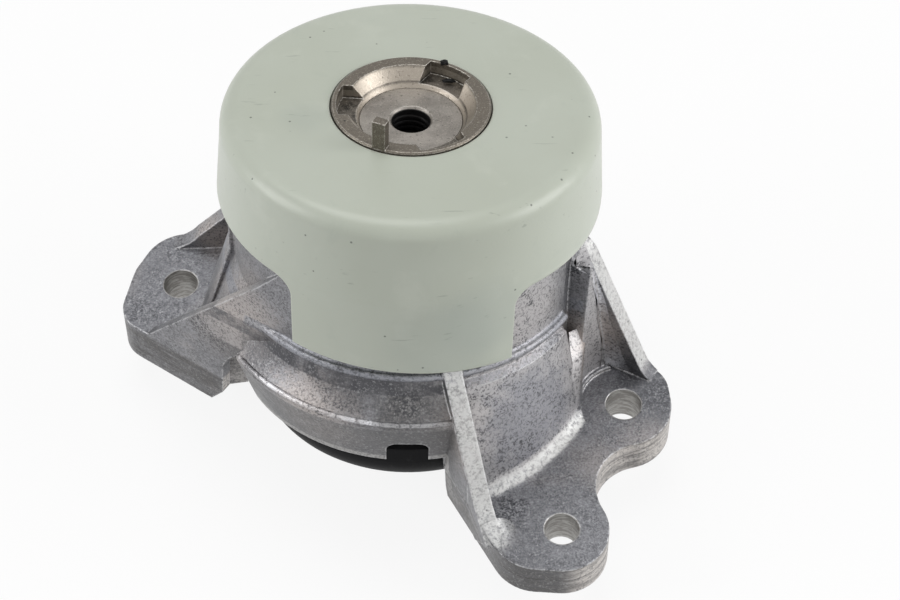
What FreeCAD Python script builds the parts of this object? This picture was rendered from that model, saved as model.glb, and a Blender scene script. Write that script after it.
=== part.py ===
import FreeCAD, Part
import math
import os
import re
import Sketcher

# Hydraulic engine mount. The origin is the front bolt hole's centre in the flanges' seat plane,
# +Z is up out of the flanges and -Y is the side with the long tongue of the cap. Ground plan
# sizes run from the point where the leaning axis of the pot meets the seat plane, and heights of
# the pieces in the pot run along that axis.

SIZES = [
    ("pot_lean", 11.4, "angle between the pot's axis and the normal of the seat plane"),
    ("pot_heading", 74.5, "direction of that lean, from +X towards +Y"),
    ("wall_r", 48.0, "outer radius of the pot"),
    ("pot_top", 80.0, "height of the pot's rim"),
    ("upper_wall", 4.5, "wall of the pot round the spring's sleeve"),
    ("lower_wall", 1.6, "wall of the pot round the channel plates"),
    ("lip_in", 2.5, "how far the lip stands in from the sleeve's bore"),
    ("lip_top", 42.0, "height of the lip's upper face"),
    ("lip_height", 6.0, "height of the lip between the two bores"),
    ("bead_height", 41.8, "height of the bead round the pot"),
    ("bead_out", 1.8, "how far the bead stands out of the wall"),
    ("ledge_out", 6.4, "how far the ring's ledge stands out of the wall"),
    ("ledge_drop", 13.5, "from the bead down to the ledge"),
    ("ledge_edge", 1.4, "height of the ledge's edge"),
    ("ring_drop", 18.0, "from the ledge down to the ring's lower edge"),
    ("ring_foot_out", 0.8, "how far the ring stands out at its lower edge"),
    ("flare_r", 16.0, "hollow curve between bead and ledge"),
    ("window_width", 11.4, "width of the window in the ring"),
    ("window_height", 9.5, "height of the window above the ring's lower edge"),
    ("window_corner", 3.4, "corner radius of the window"),
    ("window_at", -90.7, "direction of the window from the pot's axis"),
    ("plate", 12.5, "thickness of the right flange"),
    ("ear", 14.0, "thickness of the left flange"),
    ("front_hole_x", 41.2, "front bolt hole, across"),
    ("front_hole_y", -65.0, "front bolt hole, along"),
    ("front_hole_r", 4.75, "front bolt hole, radius"),
    ("right_hole_x", 60.9, "right bolt hole, across"),
    ("right_hole_y", -25.8, "right bolt hole, along"),
    ("right_hole_r", 5.0, "right bolt hole, radius"),
    ("left_hole_x", -65.5, "left bolt hole, across"),
    ("left_hole_y", 20.8, "left bolt hole, along"),
    ("left_hole_r", 5.0, "left bolt hole, radius"),
    ("front_lobe_r", 12.8, "round end of the front foot"),
    ("right_lobe_r", 13.4, "round end at the right hole"),
    ("right_corner_r", 9.5, "smaller round end of the right flange behind its hole"),
    ("hollow_r", 14.3, "hollow between the front and the right hole"),
    ("left_lobe_r", 14.4, "round end at the left hole"),
    ("toe_r", 9.8, "smaller round end of the left flange"),
    ("heel_r", 13.6, "round end of the left flange under the rear fin"),
    ("draft", 3.0, "slant of the left flange's sides and of the left web"),
    ("spot_r", 12.2, "clear circle for the bolt's head at the right hole"),
    ("spot_step", 1.5, "height of the crescent step round that circle"),
    ("room_r", 13.3, "radius of the room for the bolt's head above the step"),
    ("room_draft", 5.6, "slant of that room's wall"),
    ("panel_out", 10.2, "how far the front panel stands out of the wall at its foot"),
    ("panel_foot", 5.0, "rounding between the front panel and the right flange"),
    ("ridge", 5.0, "thickness of the front ridge"),
    ("fin", 4.6, "thickness of the right and the rear fin"),
    ("web", 3.4, "thickness of the left web"),
    ("rib", 1.8, "thickness of the rib on the pot's wall"),
    ("rib_out", 1.5, "how far that rib stands out of the wall"),
    ("cap_rise", 13.6, "from the pot's rim up to the cap's top"),
    ("cap_edge", 5.0, "rounded top edge of the cap"),
    ("cap_clearance", 1.6, "gap between the wall and the cap at the short skirt's edge"),
    ("cap_draft", 1.6, "how much narrower the cap is below its rounded edge"),
    ("tongue_clearance", 0.8, "gap between the wall and the tongue's lower edge"),
    ("cap_wall", 2.2, "wall of the cap"),
    ("cap_roof", 2.5, "thickness of the cap's top"),
    ("skirt_drop_left", 10.4, "from the pot's rim down to the short skirt's edge on the left"),
    ("skirt_drop_right", 12.2, "from the pot's rim down to the short skirt's edge on the right"),
    ("tongue_gap_left", 5.6, "from the bead up to the tongue's lower edge on the left"),
    ("tongue_gap_right", 2.6, "from the bead up to the tongue's lower edge on the right"),
    ("tongue_left", -31.0, "left edge of the tongue"),
    ("tongue_right", 26.4, "right edge of the tongue"),
    ("tongue_corner", 5.0, "radius where tongue and skirt meet"),
    ("cap_gap", 0.4, "gap between the cap's hole and the core's rim"),
    ("rim_proud", 0.7, "how far the core's rim stands above the cap"),
    ("rim_r", 21.0, "outer radius of the rim"),
    ("rim_wall", 3.8, "width of the rim"),
    ("rim_chamfer", 0.4, "chamfer of the rim's outer edge"),
    ("recess_slant", 3.5, "how much narrower the recess is at its floor"),
    ("recess_depth", 5.2, "depth of the recess"),
    ("shoulder_out", 4.0, "how far the shoulder that carries the cap stands out of the rim"),
    ("shoulder_height", 3.0, "height of that shoulder"),
    ("neck_in", 3.0, "how far the core's cone stands in under the shoulder"),
    ("core_foot", 5.0, "from the core's lower face up to the insert"),
    ("core_base_r", 15.0, "radius of the core's lower face"),
    ("notch_width", 12.6, "width of the notches in the recess wall"),
    ("notch_depth", 4.1, "depth of the notches below the rim"),
    ("notch_skin", 2.4, "rim that is left outside the notches"),
    ("notch_at", 55.0, "direction of the first notch"),
    ("lug_width", 3.6, "lug, along the rim"),
    ("lug_depth", 2.6, "lug, across the rim"),
    ("lug_height", 8.0, "lug, above the rim"),
    ("lug_at", -114.5, "direction of the lug from the pot's axis"),
    ("thread_r", 5.1, "threaded bore, minor radius of M12"),
    ("thread_chamfer", 0.7, "chamfer of the threaded bore"),
    ("insert_r", 8.0, "stem of the threaded insert"),
    ("insert_disc", 2.4, "thickness of the insert's disc"),
    ("insert_length", 28.1, "length of the threaded insert"),
    ("insert_end", 0.5, "room under the insert"),
    ("seam", 0.15, "gap round the insert"),
    ("sleeve_wall", 1.8, "wall of the spring's sleeve"),
    ("sleeve_drop", 3.0, "from the pot's rim down to the sleeve"),
    ("sleeve_gap", 0.1, "gap round the sleeve"),
    ("hub_drop", 2.1, "from the core's shoulder down to the rubber"),
    ("hub_out", 2.5, "how far the spring's upper face starts out of the core"),
    ("hub_root", 2.0, "from the core's lower face up to the rubber"),
    ("edge_drop", 5.0, "from the sleeve's upper end down to the rubber"),
    ("root_rise", 4.0, "from the lip up to the rubber"),
    ("upper_bow", 40.0, "curve of the spring's upper face"),
    ("lower_bow", 60.0, "curve of the spring's lower face"),
    ("buffer_height", 6.0, "height of the rebound buffer"),
    ("buffer_width", 8.1, "width of the rebound buffer"),
    ("buffer_in", 1.4, "from the pot's outside in to the rebound buffer"),
    ("buffer_round", 2.0, "rounded upper edges of the rebound buffer"),
    ("buffer_lift", 1.0, "rise of the rebound buffer inside the pot's rim"),
    ("gasket", 1.2, "thickness of the gasket"),
    ("gasket_width", 4.15, "width of the gasket"),
    ("upper_plate", 5.5, "thickness of the upper channel plate"),
    ("lower_plate", 4.6, "thickness of the lower channel plate"),
    ("stack_gap", 0.25, "gap between the stack and its bore"),
    ("channel_land", 3.0, "land between the fluid channel and the gasket"),
    ("channel_width", 6.0, "width of the fluid channel"),
    ("channel_depth", 3.4, "depth of the fluid channel"),
    ("channel_start", 30.0, "direction in which the channel starts"),
    ("channel_sweep", 300.0, "angle that the channel runs round"),
    ("port_r", 2.8, "radius of the two ports of the channel"),
    ("port_in", 6.0, "angle from the channel's end to its port"),
    ("membrane_r", 17.0, "radius of the decoupler membrane"),
    ("membrane", 2.4, "height of the membrane's room"),
    ("membrane_play", 0.1, "play of the membrane above and below"),
    ("grid_r", 2.4, "radius of the openings over the membrane"),
    ("grid_ring_r", 10.0, "radius of the circle they stand on"),
    ("bellows_bead", 2.2, "thickness of the bellows' edge"),
    ("bellows_skin", 1.8, "wall of the bellows"),
    ("bellows_drop", 13.0, "depth of the bellows"),
    ("bellows_corner", 8.0, "rounding of the bellows"),
    ("bellows_gap", 1.5, "gap between the bellows and the cup"),
    ("band", 1.2, "thickness of the ring in the bellows' edge"),
    ("band_width", 2.2, "width of that ring"),
    ("cup_flange", 1.6, "thickness of the cup's flange"),
    ("cup_flange_width", 4.0, "from the bore in to the cup's outside"),
    ("cup_step", 1.2, "how far the cup widens below its shoulder"),
    ("cup_shoulder_drop", 0.9, "from the ring's lower edge down to the cup's shoulder"),
    ("cup_corner", 10.0, "rounded lower edge of the cup"),
    ("cup_base", -6.4, "height of the cup's floor, outside"),
    ("cup_wall", 1.6, "wall of the cup"),
    ("vent_r", 3.0, "vent hole in the cup's floor"),
    ("snap_ring", 1.4, "thickness of the snap ring"),
    ("snap_depth", 1.2, "how deep the snap ring sits in its groove"),
    ("snap_width", 3.4, "width of the snap ring"),
    ("snap_play", 0.1, "play of the snap ring in its groove"),
    ("snap_gap", 24.0, "opening of the snap ring, as an angle"),
]

# Sizes that follow from those, each made of names that stand above it.
FOLLOWING = [
    ("sleeve_bore_r", "wall_r - upper_wall"),
    ("stack_bore_r", "wall_r - lower_wall"),
    ("stack_r", "stack_bore_r - stack_gap"),
    ("lip_r", "sleeve_bore_r - lip_in"),
    ("lip_base", "lip_top - lip_height"),
    ("ledge_r", "wall_r + ledge_out"),
    ("ledge_height", "bead_height - ledge_drop"),
    ("ring_base", "ledge_height - ring_drop"),
    ("ring_base_r", "wall_r + ring_foot_out"),
    ("window_top", "ring_base + window_height"),
    ("panel_r", "wall_r + panel_out"),
    ("cap_foot_r", "wall_r + cap_clearance + cap_wall"),
    ("cap_top_r", "cap_foot_r - cap_draft"),
    ("tongue_r", "wall_r + tongue_clearance + cap_wall"),
    ("cap_top", "pot_top + cap_rise"),
    ("roof_base", "cap_top - cap_roof"),
    ("skirt_left", "pot_top - skirt_drop_left"),
    ("skirt_right", "pot_top - skirt_drop_right"),
    ("tongue_base_left", "bead_height + tongue_gap_left"),
    ("tongue_base_right", "bead_height + tongue_gap_right"),
    ("shoulder_base", "roof_base - shoulder_height"),
    ("shoulder_r", "rim_r + shoulder_out"),
    ("core_neck_r", "shoulder_r - neck_in"),
    ("rim_top", "cap_top + rim_proud"),
    ("recess_r", "rim_r - rim_wall"),
    ("floor_r", "recess_r - recess_slant"),
    ("floor_height", "rim_top - recess_depth"),
    ("disc_base", "floor_height - insert_disc"),
    ("insert_base", "floor_height - insert_length"),
    ("core_base", "insert_base - core_foot"),
    ("notch_reach", "rim_r - notch_skin"),
    ("sleeve_r", "sleeve_bore_r - sleeve_gap"),
    ("sleeve_inner_r", "sleeve_r - sleeve_wall"),
    ("sleeve_top", "pot_top - sleeve_drop"),
    ("hub_top", "shoulder_base - hub_drop"),
    ("hub_base", "core_base + hub_root"),
    ("buffer_r", "wall_r - buffer_in"),
    ("buffer_inner_r", "buffer_r - buffer_width"),
    ("buffer_top", "pot_top + buffer_height"),
    ("gasket_base", "lip_base - gasket"),
    ("upper_base", "gasket_base - upper_plate"),
    ("lower_base", "upper_base - lower_plate"),
    ("bead_base", "lower_base - bellows_bead"),
    ("flange_base", "bead_base - cup_flange"),
    ("snap_base", "flange_base - snap_ring"),
    ("gasket_inner_r", "stack_r - gasket_width"),
    ("channel_r", "gasket_inner_r - channel_land - channel_width / 2"),
    ("room_top", "upper_base + membrane / 2"),
    ("room_base", "upper_base - membrane / 2"),
    ("cup_neck_r", "stack_bore_r - cup_flange_width"),
    ("cup_r", "cup_neck_r + cup_step"),
    ("cup_shoulder", "ring_base - cup_shoulder_drop"),
    ("hang_r", "cup_neck_r - cup_wall - bellows_gap"),
    ("bellows_floor", "lower_base - bellows_drop"),
    ("band_r", "stack_r - band_width"),
    ("band_base", "bead_base + (bellows_bead - band) / 2"),
    ("snap_r", "stack_bore_r + snap_depth"),
]

document = FreeCAD.newDocument("engine_mount")
sheet = document.addObject("Spreadsheet::Sheet", "Sizes")
for row, (alias, value, meaning) in enumerate(SIZES, start=1):
    sheet.set("A%d" % row, alias)
    sheet.set("B%d" % row, repr(value))
    sheet.set("C%d" % row, meaning)
    sheet.setAlias("B%d" % row, alias)
document.recompute()

ALIASES = re.compile(r"\b(%s)\b" % "|".join(alias for alias, value, meaning in SIZES))
UP = FreeCAD.Vector(0, 0, 1)

# Places, as expressions: the ground plan round the pot, and the frame on the pot's leaning axis.
SEAT = "placement(vector(-front_hole_x; -front_hole_y; 0); rotation(vector(0; 0; 1); 0))"
POT = (SEAT + " * placement(vector(0; 0; 0);"
       " rotation(vector(-sin(pot_heading * 1deg); cos(pot_heading * 1deg); 0); pot_lean))")


def bound(expression):
    """The expression with all its names traced back to the sheet's cells."""
    text = str(expression)
    for name, rule in reversed(FOLLOWING):
        text = re.sub(r"\b%s\b" % name, "(%s)" % rule, text)
    return ALIASES.sub(r"Sizes.\1", text)


def size(expression):
    """The number that an expression over the sheet gives now."""
    value = sheet.evalExpression(bound(expression))
    return float(getattr(value, "Value", value))


def turned_to(angle):
    """Place turned about its Z axis."""
    return "placement(vector(0; 0; 0); rotation(vector(0; 0; 1); %s))" % angle


def moved_to(across, along, angle, lean="0"):
    """Place at a point of the ground plan, turned about Z and then leaned about its own X axis."""
    spot = "placement(vector(%s; %s; 0); rotation(vector(0; 0; 1); %s))" % (across, along, angle)
    return spot + " * placement(vector(0; 0; 0); rotation(vector(1; 0; 0); %s))" % lean


def new_body(label, place):
    """An empty body with its own label and place."""
    body = document.addObject("PartDesign::Body", label)
    body.Label = label
    body.setExpression("Placement", bound(place))
    document.recompute()
    return body


def new_sketch(body, plane, offset=None):
    """A sketch on one of the body's origin planes."""
    sketch = body.newObject("Sketcher::SketchObject", body.Name + "Sketch")
    support = [feature for feature in body.Origin.OriginFeatures if feature.Role == plane]
    sketch.AttachmentSupport = [(support[0], "")]
    sketch.MapMode = "FlatFace"
    if offset is not None:
        sketch.setExpression("AttachmentOffset", bound(offset))
    document.recompute()
    return sketch


def raised(height):
    """Offset of a sketch along its plane's normal."""
    return "placement(vector(0; 0; %s); rotation(vector(0; 0; 1); 0))" % height


def swung(angle):
    """Offset of an upright sketch that starts a sector at another angle."""
    return "placement(vector(0; 0; 0); rotation(vector(0; 1; 0); %s))" % angle


def arc_between(start, end, radius):
    """Arc from start to end, counter-clockwise for a positive radius and clockwise for a negative."""
    chord = end - start
    left = FreeCAD.Vector(-chord.y, chord.x, 0).normalize()
    rise = math.sqrt(max(radius * radius - chord.Length ** 2 / 4, 0))
    centre = (start + end) * 0.5 + left * math.copysign(rise, radius)
    first, last = (start, end) if radius > 0 else (end, start)
    angles = [math.atan2(point.y - centre.y, point.x - centre.x) for point in (first, last)]
    return Part.ArcOfCircle(Part.Circle(centre, UP, abs(radius)), *angles)


def hold(sketch, kind, expression, *targets):
    """A constraint with a value that is tied to the sheet."""
    index = sketch.addConstraint(Sketcher.Constraint(kind, *targets, size(expression)))
    sketch.setExpression("Constraints[%d]" % index, bound(expression))


def hold_point(sketch, element, point, across, up):
    """Ties a point to its two coordinates from the sketch's origin."""
    hold(sketch, "DistanceX", across, -1, 1, element, point)
    hold(sketch, "DistanceY", up, -1, 1, element, point)


def outline(sketch, corners):
    """Closed outline. A third value on a corner is the radius of the arc that leaves it."""
    spots = [FreeCAD.Vector(size(corner[0]), size(corner[1]), 0) for corner in corners]
    heads = []
    tails = []
    for index, corner in enumerate(corners):
        start = spots[index]
        end = spots[(index + 1) % len(spots)]
        head, tail = 1, 2
        if len(corner) == 2:
            element = sketch.addGeometry(Part.LineSegment(start, end), False)
        else:
            radius = size(corner[2])
            element = sketch.addGeometry(arc_between(start, end, radius), False)
            if radius < 0:
                head, tail = 2, 1
        heads.append((element, head))
        tails.append((element, tail))
    for index, tail in enumerate(tails):
        follower = heads[(index + 1) % len(heads)]
        sketch.addConstraint(Sketcher.Constraint("Coincident", *tail, *follower))
    for corner, head in zip(corners, heads):
        hold_point(sketch, *head, corner[0], corner[1])
        if len(corner) == 3:
            hold(sketch, "Radius", "abs(%s)" % corner[2], head[0])
    return sketch


def circle(sketch, across, up, radius):
    """One circle, tied to the sheet."""
    centre = FreeCAD.Vector(size(across), size(up), 0)
    element = sketch.addGeometry(Part.Circle(centre, UP, size(radius)), False)
    hold_point(sketch, element, 3, across, up)
    hold(sketch, "Radius", radius, element)
    return sketch


def flange_outline(sketch, start, end, rounds):
    """Outline round several arcs, with straight or direct tangent joints between them.

    Each round is its centre, its radius, the two points where its arc is drawn at first and
    whether a straight piece follows it. A radius below zero is a hollow, whose centre is free.
    """
    first = [size(value) for value in start]
    last = [size(value) for value in end]
    chain = []
    point = FreeCAD.Vector(first[0], first[1], 0)
    straight = True
    for across, along, radius, enter, leave, follows in rounds:
        begin = FreeCAD.Vector(*enter, 0)
        finish = FreeCAD.Vector(*leave, 0)
        if straight:
            chain.append((sketch.addGeometry(Part.LineSegment(point, begin), False), 1, 2))
        value = size(radius)
        arc = sketch.addGeometry(arc_between(begin, finish, value), False)
        chain.append((arc, 1, 2) if value > 0 else (arc, 2, 1))
        hold(sketch, "Radius", "abs(%s)" % radius, arc)
        if across is not None:
            hold_point(sketch, arc, 3, across, along)
        point = finish
        straight = follows
    inner = FreeCAD.Vector(last[0], last[1], 0)
    chain.append((sketch.addGeometry(Part.LineSegment(point, inner), False), 1, 2))
    back = sketch.addGeometry(
        Part.LineSegment(inner, FreeCAD.Vector(first[0], first[1], 0)), False)
    for before, after in zip(chain, chain[1:]):
        sketch.addConstraint(Sketcher.Constraint(
            "Tangent", before[0], before[2], after[0], after[1]))
    sketch.addConstraint(Sketcher.Constraint("Coincident", chain[-1][0], 2, back, 1))
    sketch.addConstraint(Sketcher.Constraint("Coincident", back, 2, chain[0][0], 1))
    hold_point(sketch, chain[0][0], 1, *start)
    hold_point(sketch, chain[-1][0], 2, *end)
    return sketch


def pad(body, sketch, length, flip=False, both=False, slant=None):
    """Pad along the sketch's normal, against it, or half each way, with slanting sides if asked."""
    feature = body.newObject("PartDesign::Pad", body.Name + "Pad")
    feature.Profile = sketch
    feature.Reversed = flip
    feature.Midplane = both
    feature.setExpression("Length", bound(length))
    if slant is not None:
        feature.setExpression("TaperAngle", bound(slant))
    document.recompute()
    return feature


def pocket(body, sketch, length, flip=False, both=False):
    """Pocket that has to take material away."""
    before = body.Shape.Volume
    feature = body.newObject("PartDesign::Pocket", body.Name + "Pocket")
    feature.Profile = sketch
    feature.Reversed = flip
    feature.Midplane = both
    feature.setExpression("Length", bound(length))
    document.recompute()
    if body.Shape.Volume > before - 0.01:
        raise RuntimeError(feature.Name + " cuts nothing")
    return feature


def revolve(body, sketch, kind="Revolution", angle="360"):
    """Revolution or groove about the body's Z axis."""
    feature = body.newObject("PartDesign::" + kind, body.Name + kind)
    feature.Profile = sketch
    feature.ReferenceAxis = (sketch, ["V_Axis"])
    feature.setExpression("Angle", bound(angle))
    document.recompute()
    return feature


def repeat(body, feature, count):
    """Copies of a feature, evenly spaced round the body's Z axis."""
    pattern = body.newObject("PartDesign::PolarPattern", body.Name + "Pattern")
    pattern.Originals = [feature]
    axis = [item for item in body.Origin.OriginFeatures if item.Role == "Z_Axis"]
    pattern.Axis = (axis[0], [""])
    pattern.Angle = 360
    pattern.Occurrences = count
    body.Tip = pattern
    document.recompute()
    return pattern


def turned(label, corners):
    """A piece on the pot's axis, turned from one profile of radius and height."""
    body = new_body(label, POT)
    revolve(body, outline(new_sketch(body, "XZ_Plane"), corners))
    return body


def sector(label, start, sweep, corners):
    """A part of a turned shape, from one angle and over a sweep."""
    body = new_body(label, POT)
    revolve(body, outline(new_sketch(body, "XZ_Plane", swung(start)), corners), angle=sweep)
    return body


def gusset(label, place, corners, thickness, flip=False):
    """An upright wall: its outline lies in its face, with lengths and heights."""
    body = new_body(label, place)
    pad(body, outline(new_sketch(body, "XZ_Plane"), corners), thickness, flip=flip)
    return body


def block(label, place, corner, sides):
    """A box in a place, from one corner and its three sides."""
    box = document.addObject("Part::Box", label)
    for name, value in zip(("Length", "Width", "Height"), sides):
        box.setExpression(name, bound(value))
    box.setExpression("Placement", bound(
        place + " * placement(vector(%s; %s; %s); rotation(vector(0; 0; 1); 0))" % corner))
    return box


def joined(label, pieces):
    """Several solids as one."""
    fusion = document.addObject("Part::MultiFuse", label)
    fusion.Shapes = pieces
    return fusion


def taken_from(label, base, tool):
    """A solid with another one taken away."""
    difference = document.addObject("Part::Cut", label)
    difference.Base = base
    difference.Tool = tool
    return difference


def bolt_room():
    """Room for the bolt's head over the right hole: a clear circle, a step and a slanting wall."""
    room = new_body("BoltRoom", SEAT + " * placement(vector(right_hole_x; right_hole_y; plate);"
                    " rotation(vector(0; 0; 1); 0))")
    revolve(room, outline(new_sketch(room, "XZ_Plane"), [
        ("0", "0"), ("spot_r", "0"), ("spot_r", "spot_step"), ("room_r", "spot_step"),
        ("room_r + pot_top * tan(room_draft)", "spot_step + pot_top"),
        ("0", "spot_step + pot_top")]))
    return room


def at_panel_foot(edge):
    """Whether an edge lies where the front panel meets the flange's upper face."""
    low, high = edge.ParameterRange
    middle = edge.valueAt((low + high) / 2)
    across = middle.x + size("front_hole_x")
    along = middle.y + size("front_hole_y - plate * tan(pot_lean)")
    level = max(abs(point.Z - size("plate")) for point in edge.Vertexes) < 0.01
    curved = edge.Curve.TypeId == "Part::GeomEllipse"
    return level and curved and math.hypot(across, along) > size("wall_r")


def right_flange_and_panel(deep):
    """Flange with two bolt holes, the front panel over it and the hollow flare at the right hole."""
    flange = new_body("RightFlange", SEAT)
    pad(flange, flange_outline(new_sketch(flange, "XY_Plane"), ("10.3", "-45.2"), ("30", "9.4"), [
        ("front_hole_x - 6.3", "front_hole_y + 1.1", "front_lobe_r + 0.4",
         (23.3, -70.2), (35.0, -77.1), True),
        ("front_hole_x", "front_hole_y", "front_lobe_r", (41.3, -77.8), (52.7, -59.0), False),
        (None, None, "-hollow_r", (52.7, -59.0), (63.0, -38.8), False),
        ("right_hole_x", "right_hole_y", "right_lobe_r", (63.0, -38.8), (74.2, -24.5), True),
        ("right_hole_x + 3.6", "right_hole_y + 4.3", "right_corner_r",
         (74.0, -21.0), (69.3, -13.3), True),
    ]), "plate")
    panel = sector("FrontPanel", "-73", "42", [
        ("lip_r", deep), ("panel_r + 8.4", deep), ("wall_r + 1.8", "bead_height - 5.2"),
        ("wall_r", "bead_height - 3.6"), ("lip_r", "bead_height - 3.6")])
    whole = joined("PanelOnFlange", [flange, panel])
    document.recompute()
    rounded = document.addObject("Part::Fillet", "PanelFoot")
    rounded.Base = whole
    radius = size("panel_foot")
    rounded.Edges = [(index, radius, radius) for index, edge in enumerate(whole.Shape.Edges, 1)
                     if at_panel_foot(edge)]
    flare = sector("RightFlare", "-31", "23", [
        ("lip_r", deep), ("66", deep), ("66", "20"), ("54", "54"), ("wall_r", "66"),
        ("lip_r", "66")])
    behind = block("BehindFlare", SEAT + " * " + moved_to("51.7", "-11.2", "-22.4"),
                   ("-60", "0", "-40"), ("120", "60", "140"))
    hollowed = taken_from("RoomAtHole", joined("PanelAndFlare", [
        rounded, taken_from("FlareTrimmed", flare, behind)]), bolt_room())
    document.recompute()
    return hollowed


def left_web():
    """Web from the left flange's side up to the pot, which it meets without a step."""
    face = SEAT + " * " + moved_to("-78.6", "5.3", "-35.5", "-draft")
    wall = gusset("LeftWebWall", face, [
        ("1", "0"), ("26.9", "0"), ("31.5", "6.3"), ("32.8", "19.5", "-22"), ("40.5", "30.2"),
        ("66", "44"), ("66", "86"), ("7.7", "17.2", "-12"), ("3.6", "13.4"), ("1", "13.4")],
        "web", flip=True)
    beyond = block("BeyondPot", POT + " * " + turned_to("-120"), ("wall_r + 0.05", "-80", "-60"),
                   ("60", "160", "200"))
    return taken_from("LeftWeb", wall, beyond), face


def bracket_casting():
    """The die-cast bracket: pot, ring, three flanges, gussets and ribs in one casting."""
    ledge_low = "ledge_height - ledge_edge / 2"
    ledge_high = "ledge_height + ledge_edge / 2"
    solids = [turned("PotBlank", [
        ("0", "ring_base"), ("wall_r", "ring_base"), ("wall_r", "bead_height - 2.1", "-1.2"),
        ("wall_r + bead_out - 0.5", "bead_height - 1.1", "1.4"),
        ("wall_r + bead_out - 0.5", "bead_height + 1.1", "-1.2"),
        ("wall_r", "bead_height + 2.1"), ("wall_r", "pot_top"), ("0", "pot_top")])]
    ring = [
        ("lip_r", "ring_base"), ("ring_base_r", "ring_base"), ("ledge_r", ledge_low),
        ("ledge_r", ledge_high), ("ledge_r - 1.1", "ledge_height + 1.3", "-flare_r"),
        ("wall_r", "bead_height - 1.9"), ("lip_r", "bead_height - 1.9")]
    for label, start, sweep in (("FrontRing", "-150", "77"), ("RearRing", "-10", "158")):
        solids.append(sector(label, start, sweep, ring))
    deep = "-30"
    solids.append(right_flange_and_panel(deep))
    web, web_face = left_web()
    solids.append(web)
    left = new_body("LeftFlange", SEAT)
    pad(left, flange_outline(new_sketch(left, "XY_Plane"), ("-20", "39.6"), ("-56.7", "-10.3"), [
        ("left_hole_x + 1", "left_hole_y + 5.7", "heel_r", (-64.5, 39.7), (-77.0, 31.0), True),
        ("left_hole_x - 0.8", "left_hole_y + 0.7", "left_lobe_r",
         (-80.5, 25.0), (-80.8, 18.0), True),
        ("left_hole_x - 7.4", "left_hole_y - 7.5", "toe_r", (-82.4, 12.0), (-78.6, 5.3), True),
    ]), "ear", slant="-draft")
    solids.append(left)
    flare = sector("LeftFlare", "150", "36", [
        ("lip_r", deep), ("60.5", deep), ("60.5", "13"), ("wall_r + 1", "50"), ("lip_r", "50")])
    outside = block("OutsideWeb", web_face, ("-60", "-80", "-60"), ("180", "81", "200"))
    solids.append(taken_from("LeftFlareTrimmed", flare, outside))
    solids.append(gusset("FrontRidge", SEAT + " * " + moved_to("11", "-40.4", "-72"), [
        ("-16", "2"), ("22", "2"), ("29", "plate - 2"), ("31.5", "plate"),
        ("27.5", "15.4", "-20"), ("19.5", "22.6"), ("-4", "56.6"), ("-16", "56.6")],
        "ridge", flip=True))
    solids.append(gusset("RightFin", SEAT + " * " + moved_to("48.5", "-1.3", "-30"), [
        ("-12", "2"), ("24", "2"), ("26.5", "plate", "-12"), ("22.5", "17.4"), ("5.7", "56.6", "9"),
        ("1.5", "60.8"), ("-12", "63")], "fin"))
    solids.append(gusset("RearFin", SEAT + " * " + moved_to("-38", "38.5", "180"), [
        ("-16", "2"), ("30.1", "2"), ("30.1", "ear", "-14"), ("22.5", "19.3"), ("-16", "57.3")],
        "fin", flip=True))
    solids.append(gusset("WallRib", POT + " * " + turned_to("-175") + " * " + moved_to(
        "0", "rib / 2", "0"), [
        ("lip_r", "34"), ("wall_r + rib_out", "37"), ("wall_r + rib_out", "66"),
        ("wall_r", "68"), ("lip_r", "68")], "rib"))
    tools = [turned("Bores", [
        ("0", "-40"), ("stack_bore_r", "-40"), ("stack_bore_r", "snap_base"),
        ("snap_r", "snap_base"), ("snap_r", "flange_base"), ("stack_bore_r", "flange_base"),
        ("stack_bore_r", "lip_base"), ("lip_r", "lip_base"), ("lip_r", "lip_top"),
        ("sleeve_bore_r", "lip_top"), ("sleeve_bore_r", "pot_top + 9"), ("0", "pot_top + 9")])]
    tools.append(sector("Groove", "-31", "6.5", [
        ("wall_r", "12.5"), ("70", "12.5"), ("70", "62"), ("wall_r", "62"),
        ("wall_r - 0.9", "56"), ("wall_r - 0.9", "46")]))
    window = new_body("Window", POT + " * " + turned_to("window_at"))
    pad(window, outline(new_sketch(window, "YZ_Plane"), [
        ("-window_width / 2", "0"), ("window_width / 2", "0"),
        ("window_width / 2", "window_top - window_corner", "window_corner"),
        ("window_width / 2 - window_corner", "window_top"),
        ("window_corner - window_width / 2", "window_top", "window_corner"),
        ("-window_width / 2", "window_top - window_corner")]), "wall_r + 20")
    tools.append(window)
    for side in ("front", "right", "left"):
        hole = document.addObject("Part::Cylinder", side.capitalize() + "Hole")
        hole.setExpression("Radius", bound(side + "_hole_r"))
        hole.setExpression("Height", bound("ear + 40"))
        hole.setExpression("Placement", bound(
            SEAT + " * placement(vector(%s_hole_x; %s_hole_y; -20);"
            " rotation(vector(0; 0; 1); 0))" % (side, side)))
        tools.append(hole)
    tools.append(block("BelowSeat", SEAT, ("-3 * wall_r", "-3 * wall_r", "-2 * wall_r"),
                       ("6 * wall_r", "6 * wall_r", "2 * wall_r")))
    casting = taken_from("bracket_housing", joined("CastingBlank", solids),
                         joined("CastingTools", tools))
    document.recompute()
    return casting


def skirt_height(across):
    """Height of the short skirt's slanting edge at a distance across."""
    return "(skirt_left + (skirt_right - skirt_left) * (%s + cap_foot_r) / (2 * cap_foot_r))" % across


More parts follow.
